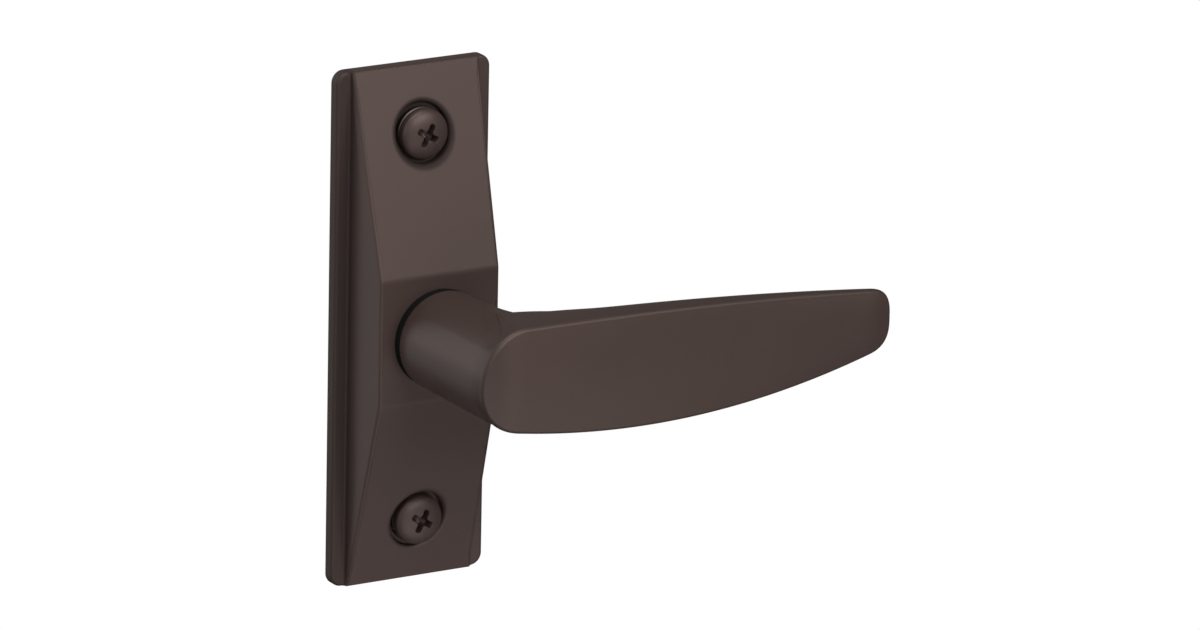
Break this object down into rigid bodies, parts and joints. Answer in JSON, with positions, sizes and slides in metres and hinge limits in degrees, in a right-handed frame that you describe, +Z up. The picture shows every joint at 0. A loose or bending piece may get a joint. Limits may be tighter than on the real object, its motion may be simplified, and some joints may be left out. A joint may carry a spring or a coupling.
{
  "type": "door lever trim",
  "caption": "Door lever trim for a narrow stile: faceted bronze escutcheon, flat paddle lever on a round neck, square drive spindle and pan-head mounting screws.",
  "frame": {"origin": "the lever's turning axis at the door face, the plane of the escutcheon's back", "axes": "+X across the plate towards the blade's tip, +Y into the door along the turning axis, +Z up the plate"},
  "size_m": [0.1196, 0.0904, 0.127],
  "materials": {
    "bronze_finish": "satin dark bronze",
    "screw_finish": "satin dark bronze",
    "washer_finish": "darkened steel",
    "zinc_steel": "zinc plated",
    "spring_steel": "oil blued",
    "acetal": "matte"
  },
  "bodies": {
    "trim": {"escutcheon": "bronze_finish", "spindle_bush": "acetal", "wave_washer": "spring_steel", "thrust_washer": "zinc_steel", "return_spring": "spring_steel", "spring_post": "zinc_steel", "stop_pin_left": "zinc_steel", "stop_pin_right": "zinc_steel", "backing_plate": "zinc_steel", "plate_screw_1": "zinc_steel", "plate_screw_2": "zinc_steel", "plate_screw_3": "zinc_steel", "plate_screw_4": "zinc_steel", "mounting_screw_upper": "screw_finish", "mounting_screw_lower": "screw_finish", "lock_washer_upper": "washer_finish", "lock_washer_lower": "washer_finish"},
    "lever_set": {"lever": "bronze_finish", "spring_driver": "zinc_steel", "retaining_ring": "spring_steel", "drive_spindle": "zinc_steel", "spindle_pin": "spring_steel"}
  },
  "joints": [
    {"name": "lever_turn", "type": "hinge", "parent": "trim", "child": "lever_set", "pos_m": [0, 0, 0], "axis": [0, 1, 0], "range_deg": [-45, 45], "stiffness_Nm_per_rad": 1.6, "deforming": ["return_spring"]}
  ]
}
